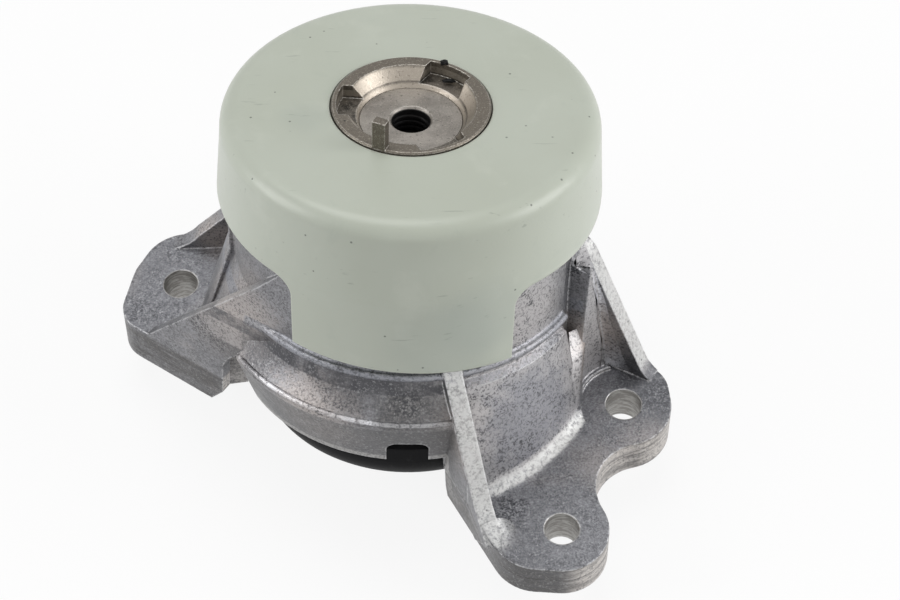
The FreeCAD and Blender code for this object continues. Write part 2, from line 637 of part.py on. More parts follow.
def cover_cap():
    """Plastic cap with a short skirt at the sides and a long tongue over the front of the pot."""
    rounded = "(cap_edge - cap_roof)"
    body = turned("cover_cap", [
        ("rim_r + cap_gap", "roof_base"),
        ("cap_top_r - cap_wall - %s" % rounded, "roof_base", "-%s" % rounded),
        ("cap_top_r - cap_wall", "cap_top - cap_edge"), ("cap_foot_r - cap_wall", "skirt_left"),
        ("tongue_r - cap_wall", "bead_height - 2"), ("tongue_r", "bead_height - 2"),
        ("cap_foot_r", "skirt_left"), ("cap_top_r", "cap_top - cap_edge", "cap_edge"),
        ("cap_top_r - cap_edge", "cap_top"), ("rim_r + cap_gap", "cap_top")])
    out = "1.4 * cap_foot_r"
    front = outline(new_sketch(body, "XZ_Plane"), [
        ("-" + out, "0"), (out, "0"), (out, skirt_height(out)),
        ("tongue_right + tongue_corner", skirt_height("tongue_right"), "tongue_corner"),
        ("tongue_right", skirt_height("tongue_right") + " - tongue_corner"),
        ("tongue_right", "tongue_base_right"), ("tongue_left", "tongue_base_left"),
        ("tongue_left", skirt_height("tongue_left") + " - tongue_corner", "tongue_corner"),
        ("tongue_left - tongue_corner", skirt_height("tongue_left")),
        ("-" + out, skirt_height("-" + out))])
    pocket(body, front, out, flip=True)
    rear = outline(new_sketch(body, "XZ_Plane"), [
        ("-" + out, "0"), (out, "0"), (out, skirt_height(out)), ("-" + out, skirt_height("-" + out))])
    pocket(body, rear, out)
    return body


def core():
    """Cast core: rim with a conical recess, three notches, a lug, and a cone into the rubber."""
    body = turned("core", [
        ("0", "core_base"), ("core_base_r", "core_base"), ("core_neck_r", "shoulder_base"),
        ("shoulder_r", "shoulder_base"), ("shoulder_r", "roof_base"), ("rim_r", "roof_base"),
        ("rim_r", "rim_top - rim_chamfer"), ("rim_r - rim_chamfer", "rim_top"),
        ("recess_r", "rim_top"), ("floor_r", "floor_height"), ("floor_r", "disc_base"),
        ("insert_r + seam", "disc_base"), ("insert_r + seam", "insert_base - insert_end"),
        ("0", "insert_base - insert_end")])
    notch = new_sketch(body, "XY_Plane", raised("rim_top - notch_depth"))
    side = "notch_width / 2"

    def spot(reach, across):
        return ("%s * cos(notch_at) - (%s) * sin(notch_at)" % (reach, across),
                "%s * sin(notch_at) + (%s) * cos(notch_at)" % (reach, across))

    outline(notch, [
        spot("(recess_r - notch_width / 2)", "-" + side),
        spot("notch_reach", "-" + side) + ("notch_reach + 1",),
        spot("notch_reach", side), spot("(recess_r - notch_width / 2)", side)])
    repeat(body, pocket(body, notch, "notch_depth + 2", flip=True), 3)
    return body


def lug_on(core_body):
    """The core with the square lug that stands on its rim."""
    lug = block("Lug", POT + " * " + turned_to("lug_at"),
                ("rim_r - rim_chamfer / 4 - lug_depth", "-lug_width / 2", "rim_top - 2"),
                ("lug_depth", "lug_width", "lug_height + 2"))
    whole = joined("core_with_lug", [core_body, lug])
    document.recompute()
    return whole


def core_insert():
    """Steel insert with the threaded bore, its disc is the floor of the recess."""
    return turned("core_insert", [
        ("thread_r", "insert_base"), ("insert_r", "insert_base"), ("insert_r", "disc_base"),
        ("floor_r - seam", "disc_base"), ("floor_r - seam", "floor_height"),
        ("thread_r + thread_chamfer", "floor_height"),
        ("thread_r", "floor_height - thread_chamfer")])


def rubber_and_sleeve():
    """Sleeve pressed into the pot and the rubber spring bonded between sleeve and core."""
    sleeve = turned("outer_sleeve", [
        ("sleeve_inner_r", "lip_top"), ("sleeve_r", "lip_top"), ("sleeve_r", "sleeve_top"),
        ("sleeve_inner_r", "sleeve_top")])
    cone = ("core_base_r + (core_neck_r - core_base_r) * (%s - core_base)"
            " / (shoulder_base - core_base)")
    spring = turned("main_spring", [
        (cone % "hub_base", "hub_base", "-lower_bow"), ("sleeve_inner_r", "lip_top + root_rise"),
        ("sleeve_inner_r", "sleeve_top - edge_drop", "-upper_bow"),
        ("core_neck_r + hub_out", "hub_top"), (cone % "hub_top", "hub_top")])
    buffer = turned("rebound_buffer", [
        ("buffer_inner_r", "pot_top + buffer_lift"), ("sleeve_bore_r - 0.5", "pot_top + buffer_lift"),
        ("sleeve_bore_r", "pot_top"), ("buffer_r", "pot_top"),
        ("buffer_r", "buffer_top - buffer_round", "buffer_round"),
        ("buffer_r - buffer_round", "buffer_top"),
        ("buffer_inner_r + buffer_round", "buffer_top", "buffer_round"),
        ("buffer_inner_r", "buffer_top - buffer_round")])
    return sleeve, spring, buffer


def channel_plates():
    """Gasket, the two plates with the fluid channel, and the membrane between them."""
    pieces = [turned("channel_gasket", [
        ("gasket_inner_r", "gasket_base"), ("stack_r", "gasket_base"), ("stack_r", "lip_base"),
        ("gasket_inner_r", "lip_base")])]
    upper = turned("upper_channel_plate", [
        ("0", "room_top"), ("membrane_r + stack_gap", "room_top"),
        ("membrane_r + stack_gap", "upper_base"), ("stack_r", "upper_base"),
        ("stack_r", "gasket_base"), ("0", "gasket_base")])
    lower = turned("lower_channel_plate", [
        ("0", "lower_base"), ("stack_r", "lower_base"), ("stack_r", "upper_base"),
        ("membrane_r + stack_gap", "upper_base"), ("membrane_r + stack_gap", "room_base"),
        ("0", "room_base")])
    groove = outline(new_sketch(upper, "XZ_Plane", swung("channel_start")), [
        ("channel_r - channel_width / 2", "upper_base - channel_depth / 4"),
        ("channel_r + channel_width / 2", "upper_base - channel_depth / 4"),
        ("channel_r + channel_width / 2", "upper_base + channel_depth"),
        ("channel_r - channel_width / 2", "upper_base + channel_depth")])
    revolve(upper, groove, "Groove", "channel_sweep")
    inlet = "(channel_start + port_in)"
    outlet = "(channel_start + channel_sweep - port_in)"
    for body, top, at, depth in ((upper, "gasket_base", inlet, "upper_plate"),
                                 (lower, "upper_base", outlet, "lower_plate")):
        port = circle(new_sketch(body, "XY_Plane", raised(top)),
                      "channel_r * cos(%s)" % at, "channel_r * sin(%s)" % at, "port_r")
        pocket(body, port, depth)
        opening = circle(new_sketch(body, "XY_Plane", raised(top)), "grid_ring_r", "0", "grid_r")
        repeat(body, pocket(body, opening, depth), 8)
        middle = circle(new_sketch(body, "XY_Plane", raised(top)), "0", "0", "grid_r")
        pocket(body, middle, depth)
    disc = turned("decoupler_membrane", [
        ("0", "room_base + membrane_play"), ("membrane_r", "room_base + membrane_play"),
        ("membrane_r", "room_top - membrane_play"), ("0", "room_top - membrane_play")])
    pieces += [upper, lower, disc]
    return pieces


def bellows_and_cup():
    """Rubber bellows with its ring, the steel cup under it and the snap ring that holds all."""
    under = "bellows_floor - bellows_skin"
    band_top = "band_base + band"
    inside = "hang_r - bellows_skin"
    bellows = turned("bellows", [
        ("0", under), ("hang_r - bellows_corner", under, "bellows_corner"),
        ("hang_r", under + " + bellows_corner"), ("hang_r", "bead_base"),
        ("stack_r", "bead_base"), ("stack_r", "band_base"), ("band_r", "band_base"),
        ("band_r", band_top), ("stack_r", band_top), ("stack_r", "lower_base"),
        (inside, "lower_base"), (inside, under + " + bellows_corner", "bellows_skin - bellows_corner"),
        ("hang_r - bellows_corner", "bellows_floor"), ("0", "bellows_floor")])
    band = turned("bellows_ring", [
        ("band_r", "band_base"), ("stack_r", "band_base"), ("stack_r", band_top),
        ("band_r", band_top)])
    cup = turned("bottom_cup", [
        ("vent_r", "cup_base"), ("cup_r - cup_corner", "cup_base", "cup_corner"),
        ("cup_r", "cup_base + cup_corner"), ("cup_r", "cup_shoulder - cup_step / 2"),
        ("cup_neck_r", "cup_shoulder + cup_step / 2"), ("cup_neck_r", "flange_base"),
        ("stack_r", "flange_base"), ("stack_r", "bead_base"),
        ("cup_neck_r - cup_wall", "bead_base"),
        ("cup_neck_r - cup_wall", "cup_shoulder - 0.2"),
        ("cup_r - cup_wall", "cup_shoulder - 0.2 - cup_step"),
        ("cup_r - cup_wall", "cup_base + cup_corner", "cup_wall - cup_corner"),
        ("cup_r - cup_corner", "cup_base + cup_wall"), ("vent_r", "cup_base + cup_wall")])
    snap = sector("retaining_ring", "90 + snap_gap / 2", "360 - snap_gap", [
        ("snap_r - snap_width", "snap_base + snap_play / 2"),
        ("snap_r - snap_play", "snap_base + snap_play / 2"),
        ("snap_r - snap_play", "flange_base"), ("snap_r - snap_width", "flange_base")])
    return [bellows, band, cup, snap]


def save(node, piece):
    """Checks one finished piece and writes it."""
    shape = piece.Shape
    if shape.isNull() or not shape.isValid() or len(shape.Solids) != 1:
        raise RuntimeError("%s is not one sound solid" % node)
    shape.exportStep(os.path.join("parts", node + ".step"))


nodes = {"bracket_housing": bracket_casting(), "cover_cap": cover_cap()}
nodes["core"] = lug_on(core())
for piece in [core_insert()] + list(rubber_and_sleeve()) + channel_plates() + bellows_and_cup():
    nodes[piece.Label] = piece
document.recompute()
for item in document.Objects:
    if "Invalid" in item.State or "Error" in item.State:
        raise RuntimeError("%s did not build" % item.Label)
os.makedirs("parts", exist_ok=True)
for node, piece in nodes.items():
    save(node, piece)
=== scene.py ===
import math

import bmesh
import bpy
from mathutils import Euler, Matrix, Vector, noise


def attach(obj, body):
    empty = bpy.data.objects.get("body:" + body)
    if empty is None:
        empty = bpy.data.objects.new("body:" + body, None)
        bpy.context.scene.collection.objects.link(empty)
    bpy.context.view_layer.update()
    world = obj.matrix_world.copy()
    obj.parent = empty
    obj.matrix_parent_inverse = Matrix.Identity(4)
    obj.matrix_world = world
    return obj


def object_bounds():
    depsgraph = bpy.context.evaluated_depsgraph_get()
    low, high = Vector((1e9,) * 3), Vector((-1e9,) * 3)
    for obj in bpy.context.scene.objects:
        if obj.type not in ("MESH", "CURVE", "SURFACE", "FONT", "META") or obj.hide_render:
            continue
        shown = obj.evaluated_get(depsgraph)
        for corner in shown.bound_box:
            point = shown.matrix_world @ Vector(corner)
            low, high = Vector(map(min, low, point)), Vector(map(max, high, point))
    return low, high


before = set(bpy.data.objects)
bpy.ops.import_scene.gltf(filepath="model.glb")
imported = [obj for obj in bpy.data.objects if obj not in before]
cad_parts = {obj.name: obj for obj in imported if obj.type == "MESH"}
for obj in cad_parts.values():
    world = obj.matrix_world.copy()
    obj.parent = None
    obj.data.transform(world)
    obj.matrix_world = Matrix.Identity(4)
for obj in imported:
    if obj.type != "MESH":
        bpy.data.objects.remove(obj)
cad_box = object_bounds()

# Metres, in the part's own frame: its origin is the front bolt hole, on the flanges' seat plane.
# POT is the leaning pot's frame: its Z is the pot's axis, from where that meets the seat plane.
LEAN = math.radians(11.4)
HEADING = math.radians(74.5)
FOOT = Vector((-0.0412, 0.065, 0.0))
POT = Matrix.Translation(FOOT) @ Matrix.Rotation(
    LEAN, 4, Vector((-math.sin(HEADING), math.cos(HEADING), 0)))

# Bolt holes: x, y and radius
HOLES = ((0.0, 0.0, 0.00475), (0.0197, 0.0392, 0.0050), (-0.1067, 0.0858, 0.0050))

# Upright walls: x and y of the start, heading in degrees, offsets of the two faces
RIDGE = (-0.0302, 0.0246, -72, -0.0052, 0.0001)
FIN = (0.0073, 0.0637, -30, -0.0001, 0.0048)

# Just under the right plate's upper face, in millimetres
PLATE = 12.4

# Levels and radii in the pot's frame
RING_LEDGE = 0.0290
LIP_PATH_R = 0.05375
LIP_R = 0.00075
INSERT_FLOOR = 0.0891
THREAD_START = 0.0620
THREAD_ROOT_R = 0.00512
THREAD_CREST_R = 0.00482
THREAD_PITCH = 0.00175


# Building blocks for the materials


class Nodes:
    """A material and short calls that add nodes to it."""

    def __init__(self, name):
        self.material = bpy.data.materials.new(name)
        self.material.use_nodes = True
        self.tree = self.material.node_tree
        self.tree.nodes.clear()
        self.output = self.add("ShaderNodeOutputMaterial")
        self.shader = self.add("ShaderNodeBsdfPrincipled")
        self.link(self.shader, "BSDF", self.output, "Surface")
        self.coordinates = self.add("ShaderNodeTexCoord").outputs["Object"]
        self.normal = self.add("ShaderNodeNewGeometry").outputs["Normal"]

    def add(self, kind, **settings):
        node = self.tree.nodes.new(kind)
        for key, value in settings.items():
            setattr(node, key, value)
        return node

    def link(self, source, output, target, socket):
        self.tree.links.new(source.outputs[output], target.inputs[socket])

    def feed(self, socket, value):
        """Sets a socket to a number or colour, or links an output to it."""
        if isinstance(value, bpy.types.NodeSocket):
            self.tree.links.new(value, socket)
        elif isinstance(value, tuple) and len(value) == 3 and len(socket.default_value) == 4:
            socket.default_value = (*value, 1)
        else:
            socket.default_value = value

    def math(self, operation, a, b=0.0, clamp=False):
        node = self.add("ShaderNodeMath", operation=operation, use_clamp=clamp)
        self.feed(node.inputs[0], a)
        self.feed(node.inputs[1], b)
        return node.outputs[0]

    def chain(self, operation, values):
        result = values[0]
        for value in values[1:]:
            result = self.math(operation, result, value)
        return result

    def times(self, *values):
        return self.chain("MULTIPLY", values)

    def plus(self, *values):
        return self.chain("ADD", values)

    def ramp(self, value, low, high, out_low=0.0, out_high=1.0):
        """Smooth step of a value between two limits."""
        node = self.add("ShaderNodeMapRange", interpolation_type="SMOOTHSTEP")
        self.feed(node.inputs["Value"], value)
        node.inputs["From Min"].default_value = low
        node.inputs["From Max"].default_value = high
        node.inputs["To Min"].default_value = out_low
        node.inputs["To Max"].default_value = out_high
        return node.outputs["Result"]

    def noise(self, size, detail=4.0, roughness=0.55, where=None, distortion=0.0):
        """Noise with grains of about the given size in metres."""
        node = self.add("ShaderNodeTexNoise")
        self.feed(node.inputs["Vector"], where or self.coordinates)
        node.inputs["Scale"].default_value = 1 / size
        node.inputs["Detail"].default_value = detail
        node.inputs["Roughness"].default_value = roughness
        node.inputs["Distortion"].default_value = distortion
        return node.outputs["Fac"]

    def cells(self, size):
        """Distance to the nearest of scattered points about the given size apart."""
        node = self.add("ShaderNodeTexVoronoi")
        self.feed(node.inputs["Vector"], self.coordinates)
        node.inputs["Scale"].default_value = 1 / size
        return node.outputs["Distance"]

    def mix(self, factor, a, b):
        node = self.add("ShaderNodeMix", data_type="RGBA")
        self.feed(node.inputs[0], factor)
        self.feed(node.inputs[6], a)
        self.feed(node.inputs[7], b)
        return node.outputs[2]

    def placed(self, matrix):
        """Object coordinates seen from another frame, given as its matrix."""
        inverse = matrix.inverted()
        node = self.add("ShaderNodeMapping", vector_type="POINT")
        self.feed(node.inputs["Vector"], self.coordinates)
        node.inputs["Location"].default_value = inverse.to_translation()
        node.inputs["Rotation"].default_value = inverse.to_euler("XYZ")
        return node.outputs[0]

    def in_pot(self):
        """Object coordinates in the pot's frame, and the distance from the pot's axis."""
        across, along, level = self.split(self.placed(POT))
        around = self.math("SQRT", self.plus(self.times(across, across), self.times(along, along)))
        return across, along, level, around

    def dot(self, vector, direction, shift=0.0):
        """How far a vector reaches along a direction, with a number added."""
        node = self.add("ShaderNodeVectorMath", operation="DOT_PRODUCT")
        self.feed(node.inputs[0], vector)
        node.inputs[1].default_value = direction
        return self.math("ADD", node.outputs["Value"], shift)

    def distance(self, vector, centre):
        node = self.add("ShaderNodeVectorMath", operation="DISTANCE")
        self.feed(node.inputs[0], vector)
        node.inputs[1].default_value = centre
        return node.outputs["Value"]

    def spot(self, centre, inner, outer, amount, ragged):
        """A soft ball round a point: the amount inside it and zero outside, with a ragged edge."""
        shift = self.times(self.math("SUBTRACT", ragged, 0.5), outer * 1.2)
        reach = self.plus(self.distance(self.coordinates, centre), shift)
        return self.ramp(reach, outer, inner, 0, amount)

    def spotted(self, colour, spots, core, ragged, spot_colour):
        """The colour with soft spots of another colour, each at its full amount in its core:
        stains, and on the casting also painted light and painted shade.
        """
        for centre, reach, amount in spots:
            factor = self.spot(centre, reach * core, reach, amount, ragged)
            colour = self.mix(factor, colour, spot_colour)
        return colour

    def stretched(self, factors):
        """Object coordinates squeezed along each axis, so that a pattern in them gets longer."""
        node = self.add("ShaderNodeVectorMath", operation="MULTIPLY")
        self.feed(node.inputs[0], self.coordinates)
        node.inputs[1].default_value = factors
        return node.outputs[0]

    def split(self, vector):
        node = self.add("ShaderNodeSeparateXYZ")
        self.feed(node.inputs[0], vector)
        return node.outputs

    def rounded(self, radius):
        """Normal of the surface with its edges rounded off."""
        node = self.add("ShaderNodeBevel", samples=6)
        node.inputs["Radius"].default_value = radius
        return node.outputs[0]

    def edges(self, radius):
        """How near an edge is, from one on it to zero away from it."""
        node = self.add("ShaderNodeVectorMath", operation="DOT_PRODUCT")
        self.feed(node.inputs[0], self.rounded(radius))
        self.feed(node.inputs[1], self.normal)
        return self.ramp(node.outputs["Value"], 0.995, 0.90)

    def band(self, value, low, high, fade=0.0004):
        """One between two limits, with ends that fade out over the given width."""
        return self.times(self.ramp(value, low - fade, low), self.ramp(value, high + fade, high))

    def bump(self, height, distance, strength=1.0, normal=None):
        node = self.add("ShaderNodeBump")
        self.feed(node.inputs["Height"], height)
        node.inputs["Distance"].default_value = distance
        node.inputs["Strength"].default_value = strength
        if normal is not None:
            self.feed(node.inputs["Normal"], normal)
        return node.outputs[0]

    def finish(self, colour, roughness, metallic=0.0, normal=None, **more):
        inputs = self.shader.inputs
        self.feed(inputs["Base Color"], colour)
        self.feed(inputs["Roughness"], roughness)
        self.feed(inputs["Metallic"], metallic)
        if normal is not None:
            self.feed(inputs["Normal"], normal)
        for key, value in more.items():
            self.feed(inputs[key.replace("_", " ")], value)
        return self.material


# Materials

GREY_STAIN = (0.085, 0.085, 0.092)
DARK_SPECK = (0.045, 0.046, 0.052)
WARM_TINT_AND_PAINTED_LIGHT = (0.52, 0.465, 0.435)
DARK_AND_SHADE_TONE = (0.105, 0.105, 0.112)

# Spots on the part: centre, reach and how strongly they show
# Warm spots: warm stains, and painted light that lifts places left in shade.
WARM_STAINS_AND_PAINTED_LIGHT_SPOTS = (
    ((-0.0225, 0.0200, 0.0330), 0.016, 0.85), ((-0.0098, 0.0370, 0.0560), 0.017, 0.70),
    ((-0.0640, 0.0270, 0.0330), 0.018, 0.65), ((-0.0880, 0.0480, 0.0400), 0.022, 0.45),
    ((-0.0960, 0.0990, 0.0190), 0.009, 0.85), ((-0.0840, 0.0470, 0.0520), 0.018, 0.50),
    ((0.0110, 0.0500, 0.0280), 0.016, 0.95), ((0.0120, 0.0200, 0.0070), 0.012, 0.80),
    ((0.0255, 0.0270, 0.0060), 0.014, 0.85))
# Dark spots: darker patches, and painted shade on the front side low down.
DARK_AND_SHADED_SPOTS = (
    ((-0.0800, 0.0425, 0.0400), 0.010, 0.80), ((0.0320, 0.0450, 0.0125), 0.020, 0.95),
    ((-0.0120, -0.0105, 0.0060), 0.016, 0.85))
PITTED_SPOTS = (
    ((-0.0140, 0.0064, 0.0125), 0.0062, 0.85), ((-0.0400, 0.0225, 0.0420), 0.0060, 0.65),
    ((-0.0071, 0.0398, 0.0615), 0.0022, 0.8), ((-0.0079, 0.0383, 0.0563), 0.0018, 0.7),
    ((-0.0086, 0.0385, 0.0665), 0.0022, 0.8), ((0.0054, 0.0556, 0.0549), 0.0050, 0.9),
    ((-0.0973, 0.0564, 0.0337), 0.0065, 0.6), ((-0.0929, 0.0534, 0.0310), 0.0060, 0.55),
    ((0.0300, 0.0419, 0.0125), 0.0070, 0.45), ((-0.1181, 0.0768, 0.0140), 0.0090, 0.35))
CAP_SMUDGES = (
    ((-0.0640, 0.0770, 0.0880), 0.007, 0.16), ((-0.0200, 0.0310, 0.0690), 0.010, 0.14),
    ((-0.0300, 0.0290, 0.0640), 0.012, 0.14))


def scaled(tone, factor):
    return tuple(c * factor for c in tone)


def upright_slab(m, across, along, angle, inside, outside):
    """One on the top of an upright wall that starts at a point and runs in a direction."""
    heading = math.radians(angle)
    start = Vector((across, along, 0))
    side = Vector((math.sin(heading), -math.cos(heading), 0))
    forward = Vector((math.cos(heading), math.sin(heading), 0))
    within = m.band(m.dot(m.coordinates, side, -side.dot(start)), inside, outside, 0.0003)
    begun = m.ramp(m.dot(m.coordinates, forward, -forward.dot(start)), -0.004, -0.002)
    level = m.ramp(m.math("ABSOLUTE", m.dot(m.normal, side)), 0.35, 0.2)
    return m.times(within, begun, level)


def flange_tops_and_panel(m, colour, up, height, cloud):
    """Upper faces painted darker and bluish as a painted reflection, and the right panel painted
    lighter where it faces front and right, as painted light, with its dark middle.
    """
    # Painted reflection: faces that look straight up are painted darker and bluish.
    top = m.times(m.ramp(up, 0.96, 0.995), m.ramp(height, 0.0172, 0.0150))
    colour = m.mix(m.times(top, 0.6), colour, (0.145, 0.148, 0.162))
    # Painted light: faces turned front and right are painted lighter.
    lit_facing = m.ramp(m.dot(m.normal, Vector((0.53, -0.77, 0.37))), 0.86, 0.95, 0, 0.8)
    colour = m.mix(lit_facing, colour, (0.56, 0.545, 0.55))
    middle = m.times(m.spot((-0.0065, 0.0262, 0.0270), 0.010, 0.020, 1.0, cloud),
                     m.ramp(up, 0.5, 0.42))
    return m.mix(m.times(middle, 0.6), colour, (0.25, 0.26, 0.30))


def round_the_pot(m, colour, cloud):
    """Tones of the bead, painted shade under it and across the ring's front, the ring's skirt
    painted darker at the front as painted shade, and its lower rim.
    """
    # Painted shade under the bead.
    under_bead = m.spot((-0.0500, 0.0270, 0.0490), 0.004, 0.020, 0.6, cloud)
    colour = m.mix(under_bead, colour, (0.10, 0.10, 0.105))
    ring_end = m.spot((-0.0370, 0.0215, 0.0370), 0.006, 0.018, 0.65, cloud)
    colour = m.mix(ring_end, colour, (0.115, 0.11, 0.105))
    across, along, level, around = m.in_pot()
    front = m.times(m.ramp(along, -0.012, -0.022), m.ramp(across, 0.016, 0.010))
    bead = m.times(m.band(level, 0.0400, 0.0437), m.band(around, 0.0482, 0.0515))
    colour = m.mix(m.times(bead, 0.7), colour, (0.30, 0.31, 0.345))
    shade = m.times(m.band(level, 0.0355, 0.0405), front, m.ramp(cloud, 0.36, 0.62, 0.9, 0.4))
    colour = m.mix(shade, colour, (0.07, 0.07, 0.078))
    # Painted shade: the front of the ring's skirt is painted darker.
    skirt = m.times(m.ramp(level, 0.0272, 0.0262), front, m.ramp(around, 0.0470, 0.0480))
    colour = m.mix(m.times(skirt, 0.7), colour, (0.085, 0.085, 0.087))
    lower_rim = m.times(m.ramp(level, 0.0128, 0.0120), m.band(around, 0.0478, 0.0505))
    return m.mix(m.times(lower_rim, 0.7), colour, (0.42, 0.41, 0.40))


def flange_sides(m, colour, up, height, broad):
    """Layered streaks on the flanges' sides, the sides facing front painted darker as painted
    shade and those turned to the right painted lighter as painted light, with the line where the
    die parted.
    """
    side = m.times(m.ramp(m.math("ABSOLUTE", up), 0.3, 0.12), m.ramp(height, 0.0138, 0.0120))
    layers = m.noise(0.0016, 3, 0.6, where=m.stretched((0.12, 0.12, 1.0)))
    colour = m.mix(m.times(side, m.ramp(layers, 0.36, 0.62, 0.85, 0.2)), colour,
                   (0.115, 0.108, 0.102))
    # Painted shade: sides facing the front are painted darker.
    forward = m.ramp(m.dot(m.normal, Vector((0.0, -1.0, 0.0))), 0.45, 0.95)
    colour = m.mix(m.times(side, forward, m.ramp(layers, 0.36, 0.62, 0.8, 0.4)), colour,
                   (0.075, 0.072, 0.070))
    # Painted light: sides turned to the right are painted lighter.
    lit = m.times(side, m.ramp(m.dot(m.normal, Vector((0.8, -0.6, 0.0))), 0.5, 0.95))
    colour = m.mix(m.times(lit, m.ramp(layers, 0.36, 0.60, 0.35, 0.95)), colour,
                   (0.62, 0.58, 0.545))
    line = m.plus(0.0062, m.times(broad, 0.0012))
    seam = m.ramp(m.math("ABSOLUTE", m.math("SUBTRACT", height, line)), 0.00028, 0.00010)
    seam = m.times(side, seam)
    return m.mix(m.times(seam, 0.6), colour, (0.07, 0.065, 0.06)), seam


def painted_highlights(m, up, height, cloud):
    """Painted highlights on the tops of the ridge and the fin, and on the curve at the panel's
    foot.
    """
    walls = m.math("MAXIMUM", upright_slab(m, *RIDGE), upright_slab(m, *FIN))
    walls = m.times(walls, m.times(m.ramp(height, 0.0150, 0.0175), m.ramp(up, 0.15, 0.30)))
    foot = m.math("MAXIMUM", m.spot((-0.0050, 0.0215, 0.0135), 0.014, 0.021, 1.0, cloud),
                  m.spot((-0.0205, -0.0010, 0.0160), 0.003, 0.010, 0.9, cloud))
    foot = m.times(foot, m.times(m.ramp(up, 0.40, 0.66), m.ramp(up, 0.995, 0.95)))
    return m.math("MAXIMUM", walls, foot)


def drilled_holes(m, colour):
    """Brighter turned walls in the bolt holes, partly their own machined finish and partly painted
    light that lifts the shade inside them.
    """
    bores = 0.0
    for across, along, radius in HOLES:
        around = m.distance(m.stretched((1, 1, 0)), (across, along, 0))
        bores = m.math("MAXIMUM", bores, m.ramp(around, radius + 0.0003, radius + 0.0001))
    marks = m.noise(0.0009, 2, 0.5, where=m.stretched((0.3, 0.3, 1.6)))
    # Bore walls lighter: machined finish, and painted light against the shade in the holes.
    colour = m.mix(bores, colour, (0.46, 0.45, 0.43))
    colour = m.mix(m.times(bores, m.ramp(marks, 0.46, 0.56, 0.55, 0)), colour, (0.17, 0.155, 0.14))
    return colour, bores


def cast_aluminium(name, tone=(0.235, 0.235, 0.248)):
    """Die-cast aluminium: grey skin with dark specks and warm stains, painted light and shade in
    places, and bright edges that are partly wear and partly painted highlight.
    """
    m = Nodes(name)
    broad = m.noise(0.030, 3, 0.5)
    cloud = m.noise(0.0060, 5, 0.62, distortion=0.3)
    fine = m.noise(0.0013, 6, 0.75)
    grain = m.noise(0.0006, 4, 0.7)
    height = m.split(m.coordinates)[2]
    up = m.split(m.normal)[2]

    colour = m.mix(m.ramp(broad, 0.35, 0.65), tone, scaled(tone, 0.84))
    colour = m.mix(m.ramp(cloud, 0.42, 0.66, 0, 0.5), colour, scaled(tone, 1.5))
    warm = m.ramp(m.noise(0.019, 4, 0.6, distortion=0.5), 0.52, 0.70, 0, 0.30)
    colour = m.mix(warm, colour, WARM_TINT_AND_PAINTED_LIGHT)
    # Warm spots: stains, and painted light on places left in shade.
    colour = m.spotted(colour, WARM_STAINS_AND_PAINTED_LIGHT_SPOTS, 0.3, fine, WARM_TINT_AND_PAINTED_LIGHT)
    # Dark patches, and painted shade low on the front.
    colour = m.spotted(colour, DARK_AND_SHADED_SPOTS, 0.3, cloud, DARK_AND_SHADE_TONE)
    colour = flange_tops_and_panel(m, colour, up, height, cloud)
    colour = round_the_pot(m, colour, cloud)
    colour, seam = flange_sides(m, colour, up, height, broad)
    bright = painted_highlights(m, up, height, cloud)
    # Painted highlights on the wall tops and the panel's foot, broken by flecks.
    colour = m.mix(m.times(bright, m.ramp(fine, 0.34, 0.56, 0.3, 0.95)), colour,
                   (0.62, 0.62, 0.61))
    colour, bores = drilled_holes(m, colour)

    mottle = m.plus(m.times(fine, 0.42), m.times(grain, 0.58))
    # The bores and the painted highlights get less mottle.
    smooth = m.plus(bores, m.times(bright, 0.6))
    amount = m.times(m.ramp(cloud, 0.32, 0.6, 1.0, 0.55), m.ramp(smooth, 0, 1, 1, 0.15))
    colour = m.mix(m.times(m.ramp(mottle, 0.505, 0.43), amount), colour, GREY_STAIN)
    colour = m.mix(m.times(m.ramp(mottle, 0.525, 0.60), m.times(amount, 0.5)), colour,
                   (0.44, 0.44, 0.45))
    flecks = m.times(m.ramp(m.cells(0.0023), 0.16, 0.09), m.ramp(fine, 0.47, 0.55))
    colour = m.mix(m.times(flecks, m.ramp(bright, 0, 1, 0.4, 0.8)), colour, DARK_SPECK)
    hollows = m.ramp(mottle, 0.54, 0.46)
    for centre, reach, share in PITTED_SPOTS:
        pits = m.times(m.spot(centre, reach * 0.25, reach, share, fine), hollows)
        colour = m.mix(pits, colour, DARK_SPECK)

    # Bright edges: partly wear, partly painted highlight.
    edge_wear_and_highlight = m.times(m.edges(0.0008), m.ramp(fine, 0.40, 0.56))
    colour = m.mix(m.times(edge_wear_and_highlight, 0.6), colour, (0.80, 0.80, 0.81))
    rough = m.ramp(cloud, 0.3, 0.7, 0.34, 0.48)
    rough = m.math("ADD", rough, m.times(bright, 0.15), clamp=True)
    relief = m.plus(m.times(fine, 0.9), m.times(grain, 0.6),
                    m.times(m.noise(0.009, 2, 0.4), 2.6), m.times(seam, 1.2))
    normal = m.bump(relief, 0.00017, 0.8, m.rounded(0.0009))
    return m.finish(colour, rough, 0.72, normal)


